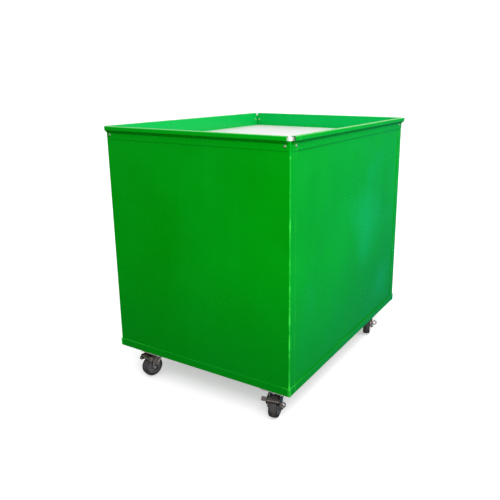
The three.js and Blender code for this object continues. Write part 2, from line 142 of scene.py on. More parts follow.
class NodeTree:
    """Small helpers that add shading nodes. Textures run in the coordinates of self.place."""

    def __init__(self, tree, coordinates):
        self.tree = tree
        self.place = tree.nodes.new("ShaderNodeTexCoord").outputs[coordinates]

    def node(self, kind, inputs=(), **settings):
        made = self.tree.nodes.new(kind)
        for key, value in settings.items():
            setattr(made, key, value)
        for socket, value in dict(inputs).items():
            if isinstance(value, bpy.types.NodeSocket):
                self.tree.links.new(value, made.inputs[socket])
            else:
                made.inputs[socket].default_value = value
        return made

    def stretched(self, scale):
        return self.node("ShaderNodeMapping", {"Vector": self.place, "Scale": scale}).outputs["Vector"]

    def noise(self, scale, detail=3, roughness=0.55, place=None):
        inputs = {"Vector": place or self.place, "Scale": scale, "Detail": detail, "Roughness": roughness}
        return self.node("ShaderNodeTexNoise", inputs).outputs["Fac"]

    def spread(self, value, low, high, to_low=0.0, to_high=1.0):
        inputs = {"Value": value, "From Min": low, "From Max": high, "To Min": to_low, "To Max": to_high}
        return self.node("ShaderNodeMapRange", inputs, clamp=True).outputs["Result"]

    def maths(self, operation, first, second=0.0):
        return self.node("ShaderNodeMath", {0: first, 1: second}, operation=operation).outputs["Value"]

    def times(self, first, second):
        return self.maths("MULTIPLY", first, second)

    def mixed(self, share, first, second, amount=None):
        """Colour between first and second, by the share times the amount."""
        if amount is not None:
            share = self.times(share, amount)
        first, second = ((*c, 1.0) if isinstance(c, tuple) else c for c in (first, second))
        inputs = {0: share, 6: first, 7: second}
        return self.node("ShaderNodeMix", inputs, data_type="RGBA").outputs[2]

    def blotches(self, scale, low, high, to_low=0.0, to_high=1.0, **settings):
        """Noise with its contrast spread."""
        return self.spread(self.noise(scale, **settings), low, high, to_low, to_high)

    def inset(self, value, limit):
        """1 where the value lies within plus or minus the limit, 0 outside."""
        return self.spread(self.maths("ABSOLUTE", value), limit, limit - 0.5 * MM)

    def axes(self):
        return self.node("ShaderNodeSeparateXYZ", {"Vector": self.place}).outputs

    def towards(self, direction):
        """Cosine between the coordinates, taken as a direction, and the given one."""
        inputs = {0: self.place, 1: Vector(direction).normalized()}
        return self.node("ShaderNodeVectorMath", inputs, operation="DOT_PRODUCT").outputs["Value"]


class Finish(NodeTree):
    """A Principled material. Textures run in the piece's own metres."""

    def __init__(self, name, **values):
        self.material = bpy.data.materials.new(name)
        self.material.use_nodes = True
        super().__init__(self.material.node_tree, "Object")
        self.shader = self.tree.nodes["Principled BSDF"]
        for socket, value in values.items():
            self.shader.inputs[socket.replace("_", " ")].default_value = value

    def colour(self, value):
        self.tree.links.new(value, self.shader.inputs["Base Color"])

    def roughness(self, value):
        self.tree.links.new(value, self.shader.inputs["Roughness"])

    def bump(self, height, distance, strength, under=None):
        inputs = {"Height": height, "Distance": distance, "Strength": strength}
        if under is not None:
            inputs["Normal"] = under
        normal = self.node("ShaderNodeBump", inputs).outputs["Normal"]
        self.tree.links.new(normal, self.shader.inputs["Normal"])
        return normal


def green_paint():
    """Semi-gloss enamel: slow colour drift, orange peel, wiped smears, chips along rim and foot, and painted
    light: lighter inner walls, shade towards the bottom, highlights on folds and edges.
    """
    paint = Finish("green_paint", IOR=1.5, Specular_Tint=(0.04, 0.75, 0.65, 1.0))
    drift = paint.blotches(2.6, 0.35, 0.68, detail=4)
    green = paint.mixed(drift, (0.0002, 0.41, 0.001), (0.0004, 0.49, 0.006))
    axes = paint.axes()
    # Painted light: the inner walls get a lighter, bluer green than the outer faces, standing in for light
    # bounced onto them
    inside = [paint.inset(axes[axis], face - 3 * MM) for axis, face in (("X", FACE_X), ("Y", FACE_Y))]
    inside = paint.times(*inside)
    green = paint.mixed(inside, green, (0.003, 0.51, 0.075))
    speckle = paint.blotches(420, 0.3, 0.75, detail=2)
    green = paint.mixed(speckle, green, (0.0005, 0.3, 0.003), 0.06)
    smear = paint.blotches(9, 0.48, 0.72, detail=5, place=paint.stretched((1.0, 1.0, 0.16)))
    green = paint.mixed(smear, green, (0.003, 0.57, 0.03), 0.14)
    height = axes["Z"]
    # Painted shade: the green turns darker, patchily, from mid-height down to the underside
    patchy = paint.spread(drift, 0.0, 1.0, 0.5, 0.85)
    dust_and_shade = paint.times(paint.spread(height, SHADE_TOP, UNDERSIDE), patchy)
    green = paint.mixed(dust_and_shade, green, (0.0008, 0.25, 0.012), 0.75)

    # Painted highlights in beaded lines: corner folds, seam beside the front's wrap, bottom rail's top
    across, deep = (paint.maths("ABSOLUTE", axes[name]) for name in ("X", "Y"))
    corner = FACE_X + FACE_Y
    arris = paint.spread(paint.maths("ADD", across, deep), corner - 6.6 * MM, corner - 5.6 * MM)
    arris = paint.times(arris, paint.spread(height, RAIL_LOW + 1 * MM, RAIL_LOW - 1 * MM))
    seam = paint.maths("ABSOLUTE", paint.maths("SUBTRACT", deep, SEAM_Y))
    outside = paint.spread(across, FACE_X - 2.5 * MM, FACE_X - 2 * MM)
    seam = paint.times(paint.spread(seam, 2.6 * MM, 1.6 * MM), outside)
    ledge = paint.maths("ABSOLUTE", paint.maths("SUBTRACT", height, LEDGE_Z))
    ledge = paint.spread(ledge, 1.1 * MM, 0.6 * MM)
    beads = paint.noise(22, detail=4, place=paint.stretched((0.2, 0.2, 1.0)))
    beads = paint.spread(beads, 0.46, 0.66, 0.16, 0.9)
    edge_highlight = paint.maths("MAXIMUM", arris, paint.times(paint.maths("MAXIMUM", seam, ledge), 0.5))
    green = paint.mixed(edge_highlight, green, (0.06, 0.95, 0.07), beads)

    # Chips along the rim and the foot
    rim = paint.spread(height, RIM - 2.2 * MM, RIM - 0.3 * MM)
    foot = paint.spread(height, UNDERSIDE + 9 * MM, UNDERSIDE + 0.5 * MM)
    chips = paint.blotches(170, 0.63, 0.66, detail=5, roughness=0.7)
    worn = paint.times(chips, paint.maths("MAXIMUM", rim, foot))
    green = paint.mixed(worn, green, (0.1, 0.14, 0.09), 0.75)
    paint.colour(green)
    gloss = paint.blotches(14, 0.3, 0.75, 0.24, 0.36, detail=5)
    gloss = paint.maths("ADD", gloss, paint.times(smear, 0.05))
    paint.roughness(paint.maths("ADD", gloss, paint.times(worn, 0.3)))
    peel = paint.bump(paint.noise(520, detail=2), 0.05 * MM, 0.35)
    paint.bump(worn, -0.06 * MM, 0.6, under=peel)
    return paint.material


def white_board():
    """Laminated board: fine pebble, faint stains, and grey scuffs from what slid over it."""
    board = Finish("white_board", IOR=1.48)
    scuffs = board.noise(26, detail=6, roughness=0.65, place=board.stretched((1.0, 0.22, 1.0)))
    scuffs = board.spread(scuffs, 0.6, 0.72)
    crossed = board.noise(34, detail=5, roughness=0.6, place=board.stretched((0.15, 1.0, 1.0)))
    scuffs = board.maths("MAXIMUM", scuffs, board.spread(crossed, 0.66, 0.76))
    stain = board.blotches(5, 0.42, 0.75, detail=4)
    white = board.mixed(stain, (0.775, 0.745, 0.755), (0.72, 0.685, 0.68), 0.35)
    white = board.mixed(scuffs, white, (0.5, 0.49, 0.47), 0.22)
    board.colour(white)
    board.roughness(board.blotches(18, 0.3, 0.7, 0.32, 0.48, detail=4))
    board.bump(board.noise(900, detail=1), 0.03 * MM, 0.5)
    return board.material


def plated(name, bright, dull, warm, low, high, grain=260, metallic=1.0):
    """Plated or bare metal: crystal spangle, tinted patches and dark grime."""
    steel = Finish(name, Metallic=metallic)
    cells = steel.node("ShaderNodeTexVoronoi", {"Vector": steel.place, "Scale": grain}).outputs["Color"]
    spangle = steel.node("ShaderNodeSeparateColor", {"Color": cells}).outputs["Red"]
    colour = steel.mixed(spangle, bright, dull, 0.7)
    patches = steel.blotches(45, 0.45, 0.7, detail=4)
    colour = steel.mixed(patches, colour, warm, 0.6)
    grime = steel.blotches(120, 0.58, 0.8, detail=5, roughness=0.65)
    steel.colour(steel.mixed(grime, colour, (0.09, 0.08, 0.07), 0.6))
    rough = steel.blotches(90, 0.3, 0.7, low, high, detail=4)
    steel.roughness(steel.maths("ADD", rough, steel.times(grime, 0.2)))
    steel.bump(steel.noise(1400, detail=2), 0.03 * MM, 0.5)
    return steel.material


def hub_plastic():
    """Moulded grey plastic with a fine spark texture and patches of dust."""
    plastic = Finish("hub_plastic", IOR=1.48)
    drift = plastic.blotches(60, 0.3, 0.7, detail=3)
    grey = plastic.mixed(drift, (0.105, 0.1, 0.112), (0.15, 0.143, 0.155))
    dust = plastic.blotches(210, 0.56, 0.75, detail=5, roughness=0.7)
    plastic.colour(plastic.mixed(dust, grey, (0.3, 0.285, 0.26), 0.35))
    plastic.roughness(plastic.blotches(80, 0.3, 0.7, 0.42, 0.6, detail=4))
    plastic.bump(plastic.noise(2200, detail=2), 0.04 * MM, 0.6)
    return plastic.material


def tyre_rubber(name, dust, roughness):
    """Dark rubber with dust in its pores."""
    rubber = Finish(name, IOR=1.5)
    dust_and_shade = rubber.blotches(240, 0.4, 0.68, detail=6, roughness=0.7)
    rubber.colour(rubber.mixed(dust_and_shade, (0.026, 0.026, 0.028), (0.19, 0.175, 0.155), dust))
    rubber.roughness(rubber.blotches(70, 0.3, 0.7, roughness - 0.05, roughness + 0.05, detail=3))
    rubber.bump(rubber.noise(900, detail=4), 0.08 * MM, 0.6)
    return rubber.material


GREEN = green_paint()
WHITE = white_board()
# Plated surfaces: bright and dull crystals, patches, lowest and highest roughness
ZINC = plated("zinc_steel", (0.57, 0.51, 0.46), (0.41, 0.36, 0.33), (0.4, 0.34, 0.27), 0.36, 0.52)
SPRING = plated("spring_steel", (0.3, 0.31, 0.33), (0.2, 0.2, 0.21), (0.2, 0.17, 0.13), 0.28, 0.42)
PEDAL = plated("pedal_steel", (0.25, 0.225, 0.21), (0.15, 0.13, 0.125), (0.24, 0.16, 0.13), 0.35, 0.5)
MILKY_ZINC = plated("passivated_zinc", (0.93, 0.89, 0.84), (0.78, 0.74, 0.69), (0.8, 0.7, 0.6), 0.38, 0.5,
                    metallic=0.3)
RIVET = plated("rivet_aluminium", (0.6, 0.72, 0.54), (0.36, 0.62, 0.36), (0.1, 0.5, 0.12), 0.3, 0.45,
               grain=700)
CLIP = plated("clip_zinc", (0.95, 0.96, 0.96), (0.84, 0.86, 0.86), (0.82, 0.84, 0.82), 0.3, 0.45,
              metallic=0.45)
HUB = hub_plastic()
RUBBER = tyre_rubber("tyre_side", 0.16, 0.5)
TREAD_RUBBER = tyre_rubber("tyre_tread", 0.62, 0.76)


# ------------ making pieces

def soften(obj, width):
    """Breaks the sharp edges of a piece with a small bevel and keeps its flats flat in the shading."""
    bevel = obj.modifiers.new("edges", "BEVEL")
    bevel.width = width
    bevel.segments = 2
    bevel.limit_method = "ANGLE"
    bevel.angle_limit = math.radians(40)
    obj.modifiers.new("normals", "WEIGHTED_NORMAL").keep_sharp = True


def mesh_of(name, bm, surface):
    bmesh.ops.recalc_face_normals(bm, faces=bm.faces)
    mesh = bpy.data.meshes.new(name)
    bm.to_mesh(mesh)
    bm.free()
    mesh.shade_smooth()
    mesh.materials.append(surface)
    return mesh


def add_piece(name, mesh, body, slot, stands_for=(), place=Matrix(), edge=0.0):
    """A new piece, whose place is in its mesh as it is in the CAD nodes."""
    mesh = mesh.copy()
    mesh.transform(place)
    obj = bpy.data.objects.new(name, mesh)
    bpy.context.scene.collection.objects.link(obj)
    if edge:
        soften(obj, edge)
    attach(obj, body)
    if stands_for:
        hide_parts(*stands_for)
    return obj


def dress(node, surface, edge):
    """A CAD node keeps its shape and gets a finish and broken edges."""
    obj = frame["nodes"][node]
    obj.data.materials.clear()
    obj.data.materials.append(surface)
    obj.data.shade_smooth()
    obj.modifiers.new("weld", "WELD").merge_threshold = 0.01 * MM
    soften(obj, edge)


def build(name, bm, surface, *placing, **options):
    """A new piece with a mesh of its own."""
    return add_piece(name, mesh_of(name, bm, surface), *placing, **options)


def folded(corners, radius, steps, spacing):
    """Centre line of a folded sheet: straight runs joined by arcs, in steps of at most spacing."""
    corners = [Vector(corner) for corner in corners]
    line = [corners[0]]
    for before, corner, after in zip(corners, corners[1:], corners[2:]):
        back = (before - corner).normalized()
        ahead = (after - corner).normalized()
        half_turn = back.angle(ahead) / 2
        centre = corner + (back + ahead).normalized() * (radius / math.sin(half_turn))
        setback = radius / math.tan(half_turn)
        start = corner + back * setback - centre
        end = corner + ahead * setback - centre
        first = math.atan2(start.y, start.x)
        sweep = math.remainder(math.atan2(end.y, end.x) - first, math.tau)
        for k in range(steps + 1):
            angle = first + sweep * k / steps
            line.append(centre + radius * Vector((math.cos(angle), math.sin(angle))))
    line.append(corners[-1])
    dense = [line[0]]
    for a, b in zip(line, line[1:]):
        cuts = max(1, math.ceil((b - a).length / spacing))
        dense += [a.lerp(b, k / cuts) for k in range(1, cuts + 1)]
    return dense


def upright(point, z):
    """A point of the plan at height z."""
    return Vector((point.x, point.y, z))


def spaced(low, high, spacing):
    count = math.ceil((high - low) / spacing)
    return [low + (high - low) * k / count for k in range(count + 1)]


def sheet(bm, line, stations, to_world, ripple=None):
    """A sheet about a 2-D centre line, carried through the stations. ripple lifts it along its own normal."""
    runs = [(b - a).normalized() for a, b in zip(line, line[1:])]
    rings = []
    for station in stations:
        near, far = [], []
        for i, point in enumerate(line):
            into = runs[max(i - 1, 0)]
            run = (into + runs[min(i, len(runs) - 1)]).normalized()
            normal = Vector((-run.y, run.x))
            lift = ripple(point, normal, station) if ripple else 0.0
            for side, row in ((1, near), (-1, far)):
                flat = point + normal * (side * SHEET / 2 / run.dot(into) + lift)
                row.append(bm.verts.new(to_world(flat, station)))
        rings.append((near, far))
    for (near_a, far_a), (near_b, far_b) in zip(rings, rings[1:]):
        for i in range(len(line) - 1):
            bm.faces.new((near_a[i], near_a[i + 1], near_b[i + 1], near_b[i]))
            bm.faces.new((far_a[i], far_b[i], far_b[i + 1], far_a[i + 1]))
        for i in (0, -1):
            bm.faces.new((near_a[i], near_b[i], far_b[i], far_a[i]))
    for near, far in (rings[0], rings[-1]):
        for i in range(len(line) - 1):
            bm.faces.new((near[i], far[i], far[i + 1], near[i + 1]))


def bridge(bm, first, second):
    """Faces between two closed rows of vertices."""
    for k in range(len(first)):
        n = (k + 1) % len(first)
        bm.faces.new((first[k], first[n], second[n], second[k]))


def tube(bm, rows):
    """Closed rows of vertices joined in turn, with both ends closed."""
    for first, second in zip(rows, rows[1:]):
        bridge(bm, first, second)
    bm.faces.new(rows[0])
    bm.faces.new(rows[-1])


def around(share):
    """Unit direction after a share of a full turn."""
    return math.cos(math.tau * share), math.sin(math.tau * share)


def turned(bm, profile, segments, place=Matrix(), ring=False):
    """Turns (radius, height) points about local Z. A ring's profile closes on itself."""
    rows = []
    for radius, height in profile:
        count = segments if radius > 0 else 1
        ring_points = [Vector((*(radius * Vector(around(k / segments))), height)) for k in range(count)]
        rows.append([bm.verts.new(place @ point) for point in ring_points])
    for low, high in zip(rows, rows[1:] + ([rows[0]] if ring else [])):
        for k in range(segments):
            loop = (low[k % len(low)], low[(k + 1) % segments % len(low)])
            loop += (high[(k + 1) % segments % len(high)], high[k % len(high)])
            bm.faces.new(list(dict.fromkeys(loop)))


def circle(x, y, radius, count=28):
    return [Vector((x, y)) + radius * Vector(around(k / count)) for k in range(count)]


def arc(x, y, radius, start, end, count):
    angles = [math.radians(start + (end - start) * k / count) for k in range(count + 1)]
    return [Vector((x + radius * math.cos(a), y + radius * math.sin(a))) for a in angles]


def bent(start, pull_start, pull_end, end, count=14):
    """A smooth edge from start to end, drawn towards its two control points. The ends are left out."""
    return interpolate_bezier(start, pull_start, pull_end, end, count + 1)[1:-1]


def rounded_rectangle(half_x, half_y, radius):
    points = []
    for x, y, start in ((1, -1, -90), (1, 1, 0), (-1, 1, 90), (-1, -1, 180)):
        points += arc(x * (half_x - radius), y * (half_y - radius), radius, start, start + 90, 8)
    return points


def within(point, loop):
    """Whether the point is inside the loop."""
    inside = False
    for a, b in zip(loop, loop[1:] + loop[:1]):
        if (a.y > point.y) != (b.y > point.y):
            if point.x < a.x + (point.y - a.y) * (b.x - a.x) / (b.y - a.y):
                inside = not inside
    return inside


def pressed(bm, outline, holes, thickness, spacing, lift):
    """A pressed sheet part: lift carries a flat blank, bounded by outline and holes, into shape."""
    points, edges = [], []
    for loop in (outline, *holes):
        first = len(points)
        points += loop
        edges += [(first + k, first + (k + 1) % len(loop)) for k in range(len(loop))]
    rim = list(points)

    def solid(point):
        return within(point, outline) and not any(within(point, hole) for hole in holes)

    across, along = zip(*outline)
    for x in spaced(min(across), max(across), spacing):
        for y in spaced(min(along), max(along), spacing):
            point = Vector((x, y))
            near_rim = any((point - edge).length < 0.6 * spacing for edge in rim)
            if not near_rim and solid(point):
                points.append(point)
    flat, _, triangles, *_ = delaunay_2d_cdt(points, edges, [], 1, 1e-7)
    triangles = [t for t in triangles if solid(sum((flat[i] for i in t), Vector((0, 0))) / 3)]
    step = 0.05 * MM
    sides = ([], [])
    for point in flat:
        along = lift(point + Vector((step, 0))) - lift(point - Vector((step, 0)))
        across = lift(point + Vector((0, step))) - lift(point - Vector((0, step)))
        normal = along.cross(across).normalized()
        for side, sign in zip(sides, (1, -1)):
            side.append(bm.verts.new(lift(point) + normal * (sign * thickness / 2)))
    uses = {}
    for a, b, c in triangles:
        bm.faces.new([sides[0][i] for i in (a, b, c)])
        bm.faces.new([sides[1][i] for i in (c, b, a)])
        for pair in ((a, b), (b, c), (c, a)):
            uses.setdefault(frozenset(pair), []).append(pair)
    for pairs in uses.values():
        if len(pairs) == 1:
            a, b = pairs[0]
            bm.faces.new((sides[0][b], sides[0][a], sides[1][a], sides[1][b]))
    bmesh.ops.delete(bm, geom=[v for v in bm.verts if not v.link_faces], context="VERTS")


def smooth(value):
    """0 below 0, 1 above 1, with a soft slope between."""
    value = min(max(value, 0.0), 1.0)
    return value * value * (3 - 2 * value)


# ------------ body

def unevenness(place, margin, reach):
    """How far flat sheet stands out of true: slow waves that die away towards the edges that hold it."""
    hold = smooth(margin / reach)
    long_wave = 0.75 * noise.noise(place * 5.2)
    short_wave = 0.16 * noise.noise(place * 15 + Vector((7, 3, 1)))
    return hold * (long_wave + short_wave) * MM


def add_skin(name, line, levels, ripple):
    bm = bmesh.new()
    sheet(bm, line, levels, upright, ripple)
    build(f"{name}_skin", bm, GREEN, "body", "green_paint", [f"{name}_panel"], edge=0.25 * MM)


def add_skins():
    low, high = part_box("front_panel")
    levels = spaced(low.z, high.z, GRID)
    out_x = high.x - SHEET / 2
    out_y = -low.y - SHEET / 2

    def ripple(point, normal, z):
        across = min(out_x - abs(point.x), 1.0) if abs(normal.y) > 0.9 else 0.0
        margin = min(across, z - low.z, high.z - z)
        return unevenness(upright(point, z), margin, WAVE_REACH)

    for name, sign in (("front", -1), ("back", 1)):
        return_y = sign * (out_y + SHEET / 2 - (high.y - low.y))
        wrap = [(-out_x, return_y), (-out_x, sign * out_y), (out_x, sign * out_y), (out_x, return_y)]
        add_skin(name, folded(wrap, SKIN_FOLD, 8, GRID), levels, ripple)
    for name in ("left", "right"):
        low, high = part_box(f"{name}_panel")
        x = (low.x + high.x) / 2

        def side_ripple(point, normal, z):
            margin = min(point.y - low.y, high.y - point.y, z - low.z, high.z - z)
            return unevenness(upright(point, z), margin - POST_COVER, WAVE_REACH)

        line = [Vector((x, y)) for y in spaced(low.y, high.y, GRID)]
        add_skin(name, line, levels, side_ripple)


# Each side: its name, quarter turns from the front, and its distance from the middle
SIDES = (("front", 0, FACE_Y), ("right", 1, FACE_X), ("back", 2, FACE_Y), ("left", 3, FACE_X))


def rail_frame(turns, face):
    """Carries (outward, along, height) of a rail into place: the front side turned about Z."""
    basis = Matrix(((0, 1, 0, 0), (-1, 0, 0, -face), (0, 0, 1, 0), (0, 0, 0, 1)))
    return Matrix.Rotation(turns * math.pi / 2, 4, "Z") @ basis


def rail_length(name):
    """Half the length of a side's top rail."""
    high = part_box(f"top_rail_{name}")[1]
    return high.y if name in ("left", "right") else high.x


def add_top_rails():
    half = SHEET / 2
    flange_z = RAIL_LOW + half
    lip, top = LIP - half - RAIL_RIPPLE, RIM - half - RAIL_RIPPLE
    outline = [(-half, RIM - RAIL_BAND), (-half, RIM - RAIL_SLANT), (lip, RIM - RAIL_FASCIA),
               (lip, top), (half - RAIL_INNER_INSET, top),
               (half - RAIL_INNER_INSET, flange_z), (-STOP_FLANGE, flange_z)]
    line = folded(outline, RAIL_BEND, 6, GRID)
    for name, turns, face in SIDES:
        length = rail_length(name)
        place = rail_frame(turns, face)

        def to_world(point, along):
            notched = point.x < -RAIL_INNER_INSET / 2 and point.y > RIM - CLIP_DROP
            limit = length - (RAIL_NOTCH if notched else max(0.0, -RAIL_INNER_INSET - point.x))
            return place @ Vector((point.x, max(-limit, min(limit, along)), point.y))

        def ripple(point, normal, along):
            spot = place @ Vector((0, along, point.y))
            return 0.3 * unevenness(spot, length - abs(along), 60 * MM)

        bm = bmesh.new()
        sheet(bm, line, spaced(-length, length, GRID), to_world, ripple)
        build(f"{name}_rail", bm, GREEN, "body", "green_paint", [f"top_rail_{name}"], edge=0.3 * MM)


def rivet_profile():
    """Blind rivet: an oval dome with the hollow of its mandrel in the middle, on a thin rim."""
    steps = [0.36 + 0.64 * k / 8 for k in range(8)]
    crown = RIVET_HEIGHT - RIM_OF_RIVET
    dome = [(RIVET_RADIUS * t, RIM_OF_RIVET + crown * math.sqrt(1 - t * t)) for t in steps]
    hollow = dome[0][1] - 0.7 * MM
    return [(0, hollow), (1.1 * MM, hollow), (1.25 * MM, dome[0][1] - 0.1 * MM), *dome,
            (RIVET_RADIUS, RIM_OF_RIVET), (RIVET_RADIUS, -SUNK), (0, -SUNK)]


def facing(place, outward):
    """Turns local Z to the rail's outward direction, or inward."""
    return place @ Matrix.Rotation(math.pi / 2 if outward > 0 else -math.pi / 2, 4, "Y")


def add_rivets():
    for name, turns, face in SIDES:
        length = rail_length(name)
        outer_inset = RIVET_FROM_END * (2 if name in ("left", "right") else 1)
        rows = ((1, 0.0, outer_inset), (-1, -RAIL_INNER_INSET, RIVET_FROM_END))
        bm = bmesh.new()
        for sign in (-1, 1):
            for outward, depth, inset in rows:
                spot = Vector((depth, sign * (length - inset), RIM - RIVET_DROP))
                place = rail_frame(turns, face) @ Matrix.Translation(spot)
                turned(bm, rivet_profile(), 32, facing(place, outward))
        build(f"{name}_rivets", bm, RIVET, "body", "zinc_steel")


def add_corner_clips():
    """Bright bent strips that bridge the rails' open ends at the four corners."""
    levels = spaced(RIM - CLIP_DROP, RIM - CLIP_TOP, 2.5 * MM)
    bm = bmesh.new()
    for x in (-1, 1):
        for y in (-1, 1):
            out_x, out_y = x * (FACE_X + CLIP_OUT), y * (FACE_Y + CLIP_OUT)
            bend = [(out_x - x * CLIP_ARM, out_y), (out_x, out_y), (out_x, out_y - y * CLIP_ARM)]
            line = folded(bend, CLIP_BEND, 12, 3 * MM)
            sheet(bm, line, levels, upright)
    build("corner_clips", bm, CLIP, "body", "zinc_steel", edge=0.25 * MM)


def add_spot_welds():
    """Rows of shallow electrode prints where the skins are welded to the corner posts."""
    profile = [(0, 0.05 * MM), (0.55 * WELD_RADIUS, 0.05 * MM), (0.72 * WELD_RADIUS, 0.16 * MM),
               (0.9 * WELD_RADIUS, 0.12 * MM), (WELD_RADIUS, -0.1 * MM), (0, -0.1 * MM)]
    low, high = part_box("front_panel")
    for name, turns, face in (SIDES[0], SIDES[2]):
        bm = bmesh.new()
        for x in (WELD_FROM_CORNER - high.x, high.x - WELD_FROM_CORNER):
            for z in spaced(low.z + 60 * MM, high.z - 70 * MM, WELD_PITCH):
                spot = Matrix.Translation(Vector((-low.y - FACE_Y, x, z)))
                turned(bm, profile, 24, facing(rail_frame(turns, face) @ spot, 1))
        build(f"{name}_spot_welds", bm, GREEN, "body", "green_paint")


def add_base():
    dress("base_plate", GREEN, 0.3 * MM)
    for name, *_ in SIDES:
        dress(f"bottom_rail_{name}", GREEN, 0.35 * MM)
    for corner in CORNERS:
        dress(f"corner_post_{corner}", GREEN, 0.2 * MM)


# ------------ platform and springs

def add_deck():
    low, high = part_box("platform_deck")
    rebate = high.z - REBATE_DEPTH
    inset_x = high.x - (FACE_X - REBATE_INSET)
    inset_y = high.y - (FACE_Y - REBATE_INSET)
    edge, lip = 0.9 * MM, 0.4 * MM
    # Each level of the board's side: height, how far in from the outline along X and Y, and its corner radius
    levels = [(low.z, edge, edge, 5 * MM), (low.z + edge, 0, 0, 6 * MM), (rebate - edge, 0, 0, 6 * MM),
              (rebate, edge, edge, 5 * MM), (rebate, inset_x, inset_y, 6 * MM),
              (high.z - lip, inset_x, inset_y, 6 * MM), (high.z, inset_x + lip, inset_y + lip, 5.6 * MM)]
    bm = bmesh.new()
    rows = []
    for z, in_x, in_y, radius in levels:
        loop = rounded_rectangle(high.x - in_x, high.y - in_y, radius)
        rows.append([bm.verts.new(upright(point, z)) for point in loop])
    tube(bm, rows)
    board = build("platform_board", bm, WHITE, "platform", "white_board", ["platform_deck"])
    board.modifiers.new("normals", "WEIGHTED_NORMAL")


def add_bearer_screws():
    """Hexagon screws with washers, up through the bearers into the board."""
    bm = bmesh.new()
    for side in ("left", "right"):
        low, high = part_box(f"platform_bearer_{side}")
        middle = (low.x + high.x) / 2
        for y in SCREW_ROWS:
            place = Matrix.Translation((middle, y, low.z)) @ Matrix.Rotation(math.pi, 4, "X")
            washer(bm, 7 * MM, 0, 32, place)
            hexagon(bm, HEX_RADIUS, WASHER, 4.6 * MM, place)
    build("bearer_screws", bm, ZINC, "platform", "zinc_steel", edge=0.2 * MM)


def washer(bm, radius, low, segments, place, thickness=WASHER):
    turned(bm, [(0, low), (radius, low), (radius, low + thickness), (0, low + thickness)], segments, place)


def hexagon(bm, radius, low, high, place):
    """A hexagon head or nut whose corners are chamfered at the top."""
    chamfer = 0.09 * radius
    profile = [(0, low), (radius, low), (radius, high - chamfer), (radius - 1.6 * chamfer, high), (0, high)]
    turned(bm, profile, 6, place)


def add_spring_seats():
    for corner in CORNERS:
        for level, body, turn in (("lower", "body", 0.0), ("upper", "platform", math.pi)):
            low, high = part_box(f"spring_seat_{level}_{corner}")
            radius = (high.x - low.x) / 2
            rise = high.z - low.z
            round_off, plate = 0.6 * MM, 2.4 * MM
            profile = [(0, 0), (radius - round_off, 0), (radius, round_off), (radius, plate - round_off),
                       (radius - round_off, plate)]
            profile += arc(26.5 * MM, 4.9 * MM, 2.5 * MM, 270, 180, 5)
            profile += arc(20.5 * MM, rise - 3.5 * MM, 3.5 * MM, 0, 90, 6)
            profile += [(0, rise)]
            base = high.z if turn else low.z
            middle = Vector(((low.x + high.x) / 2, (low.y + high.y) / 2, base))
            bm = bmesh.new()
            turned(bm, profile, 56)
            place = Matrix.Translation(middle) @ Matrix.Rotation(turn, 4, "X")
            seat = build(f"{level}_seat_{corner}", bm, ZINC, body, "zinc_steel",
                         [f"spring_seat_{level}_{corner}"], place)
            seat.modifiers.new("normals", "WEIGHTED_NORMAL")


def coil(bm, middle, low, high, radius):
    """Round wire wound up from low to high, with its first and last turns closed."""
    wire, closed = SPRING_WIRE, SPRING_CLOSED
    pitch_turns = SPRING_TURNS - 2 * closed
    rise = high - low - 2 * wire - 2 * closed * 2 * wire
    steps = SPRING_TURNS * 40
    upward = Vector((0, 0, 1))
    section = [around(j / 12) for j in range(12)]
    rows = []
    for k in range(steps + 1):
        turn = SPRING_TURNS * k / steps
        open_part = min(max((turn - closed) / pitch_turns, 0.0), 1.0)
        end_part = min(turn, closed) + max(0.0, turn - (SPRING_TURNS - closed))
        outward = Vector((*around(turn), 0))
        centre = Vector((*middle, low + wire + open_part * rise + end_part * 2 * wire)) + outward * radius
        rows.append([bm.verts.new(centre + wire * (c * outward + s * upward)) for c, s in section])
    tube(bm, rows)


def add_springs():
    """A round-wire coil at each corner, each given a mesh of its own."""
    for corner in CORNERS:
        low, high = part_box(f"spring_{corner}")
        middle = ((low.x + high.x) / 2, (low.y + high.y) / 2)
        bm = bmesh.new()
        coil(bm, middle, low.z, high.z, (high.x - low.x) / 2 - SPRING_WIRE)
        spring = build(f"coil_{corner}", bm, SPRING, "body", "spring_steel", [f"spring_{corner}"])
        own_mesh(spring)


def add_platform():
    add_deck()
    add_bearer_screws()
    for side in ("left", "right"):
        dress(f"platform_bearer_{side}", ZINC, 0.5 * MM)
    add_spring_seats()
    add_springs()


# ------------ casters

Y_UP = Matrix.Rotation(-math.pi / 2, 4, "X")
AXLE = Matrix.Translation((TRAIL, 0, AXLE_Z))


def plate_mesh():
    """Square top plate with a ball race pressed down round the kingpin."""
    middle = -PLATE_GAP - PLATE_SHEET / 2
    drop = 2.6 * MM

    def lift(point):
        radius = point.length
        race = smooth((20.5 * MM - radius) / (4 * MM)) * smooth((radius - 7 * MM) / (2.5 * MM))
        return upright(point, middle - drop * race)

    bolts = [circle(x * BOLT_OFFSET, y * BOLT_OFFSET, 4.2 * MM) for x in (-1, 1) for y in (-1, 1)]
    bm = bmesh.new()
    outline = rounded_rectangle(PLATE_HALF, PLATE_HALF, 6 * MM)
    straight = [a.lerp(b, t) for a, b in zip(outline, outline[1:] + outline[:1])
                for t in ((0, 0.2, 0.4, 0.6, 0.8) if (a - b).length > 20 * MM else (0,))]
    pressed(bm, straight, [*bolts, circle(0, 0, 5.8 * MM)], PLATE_SHEET, 1.7 * MM, lift)
    return mesh_of("caster_plate", bm, MILKY_ZINC)


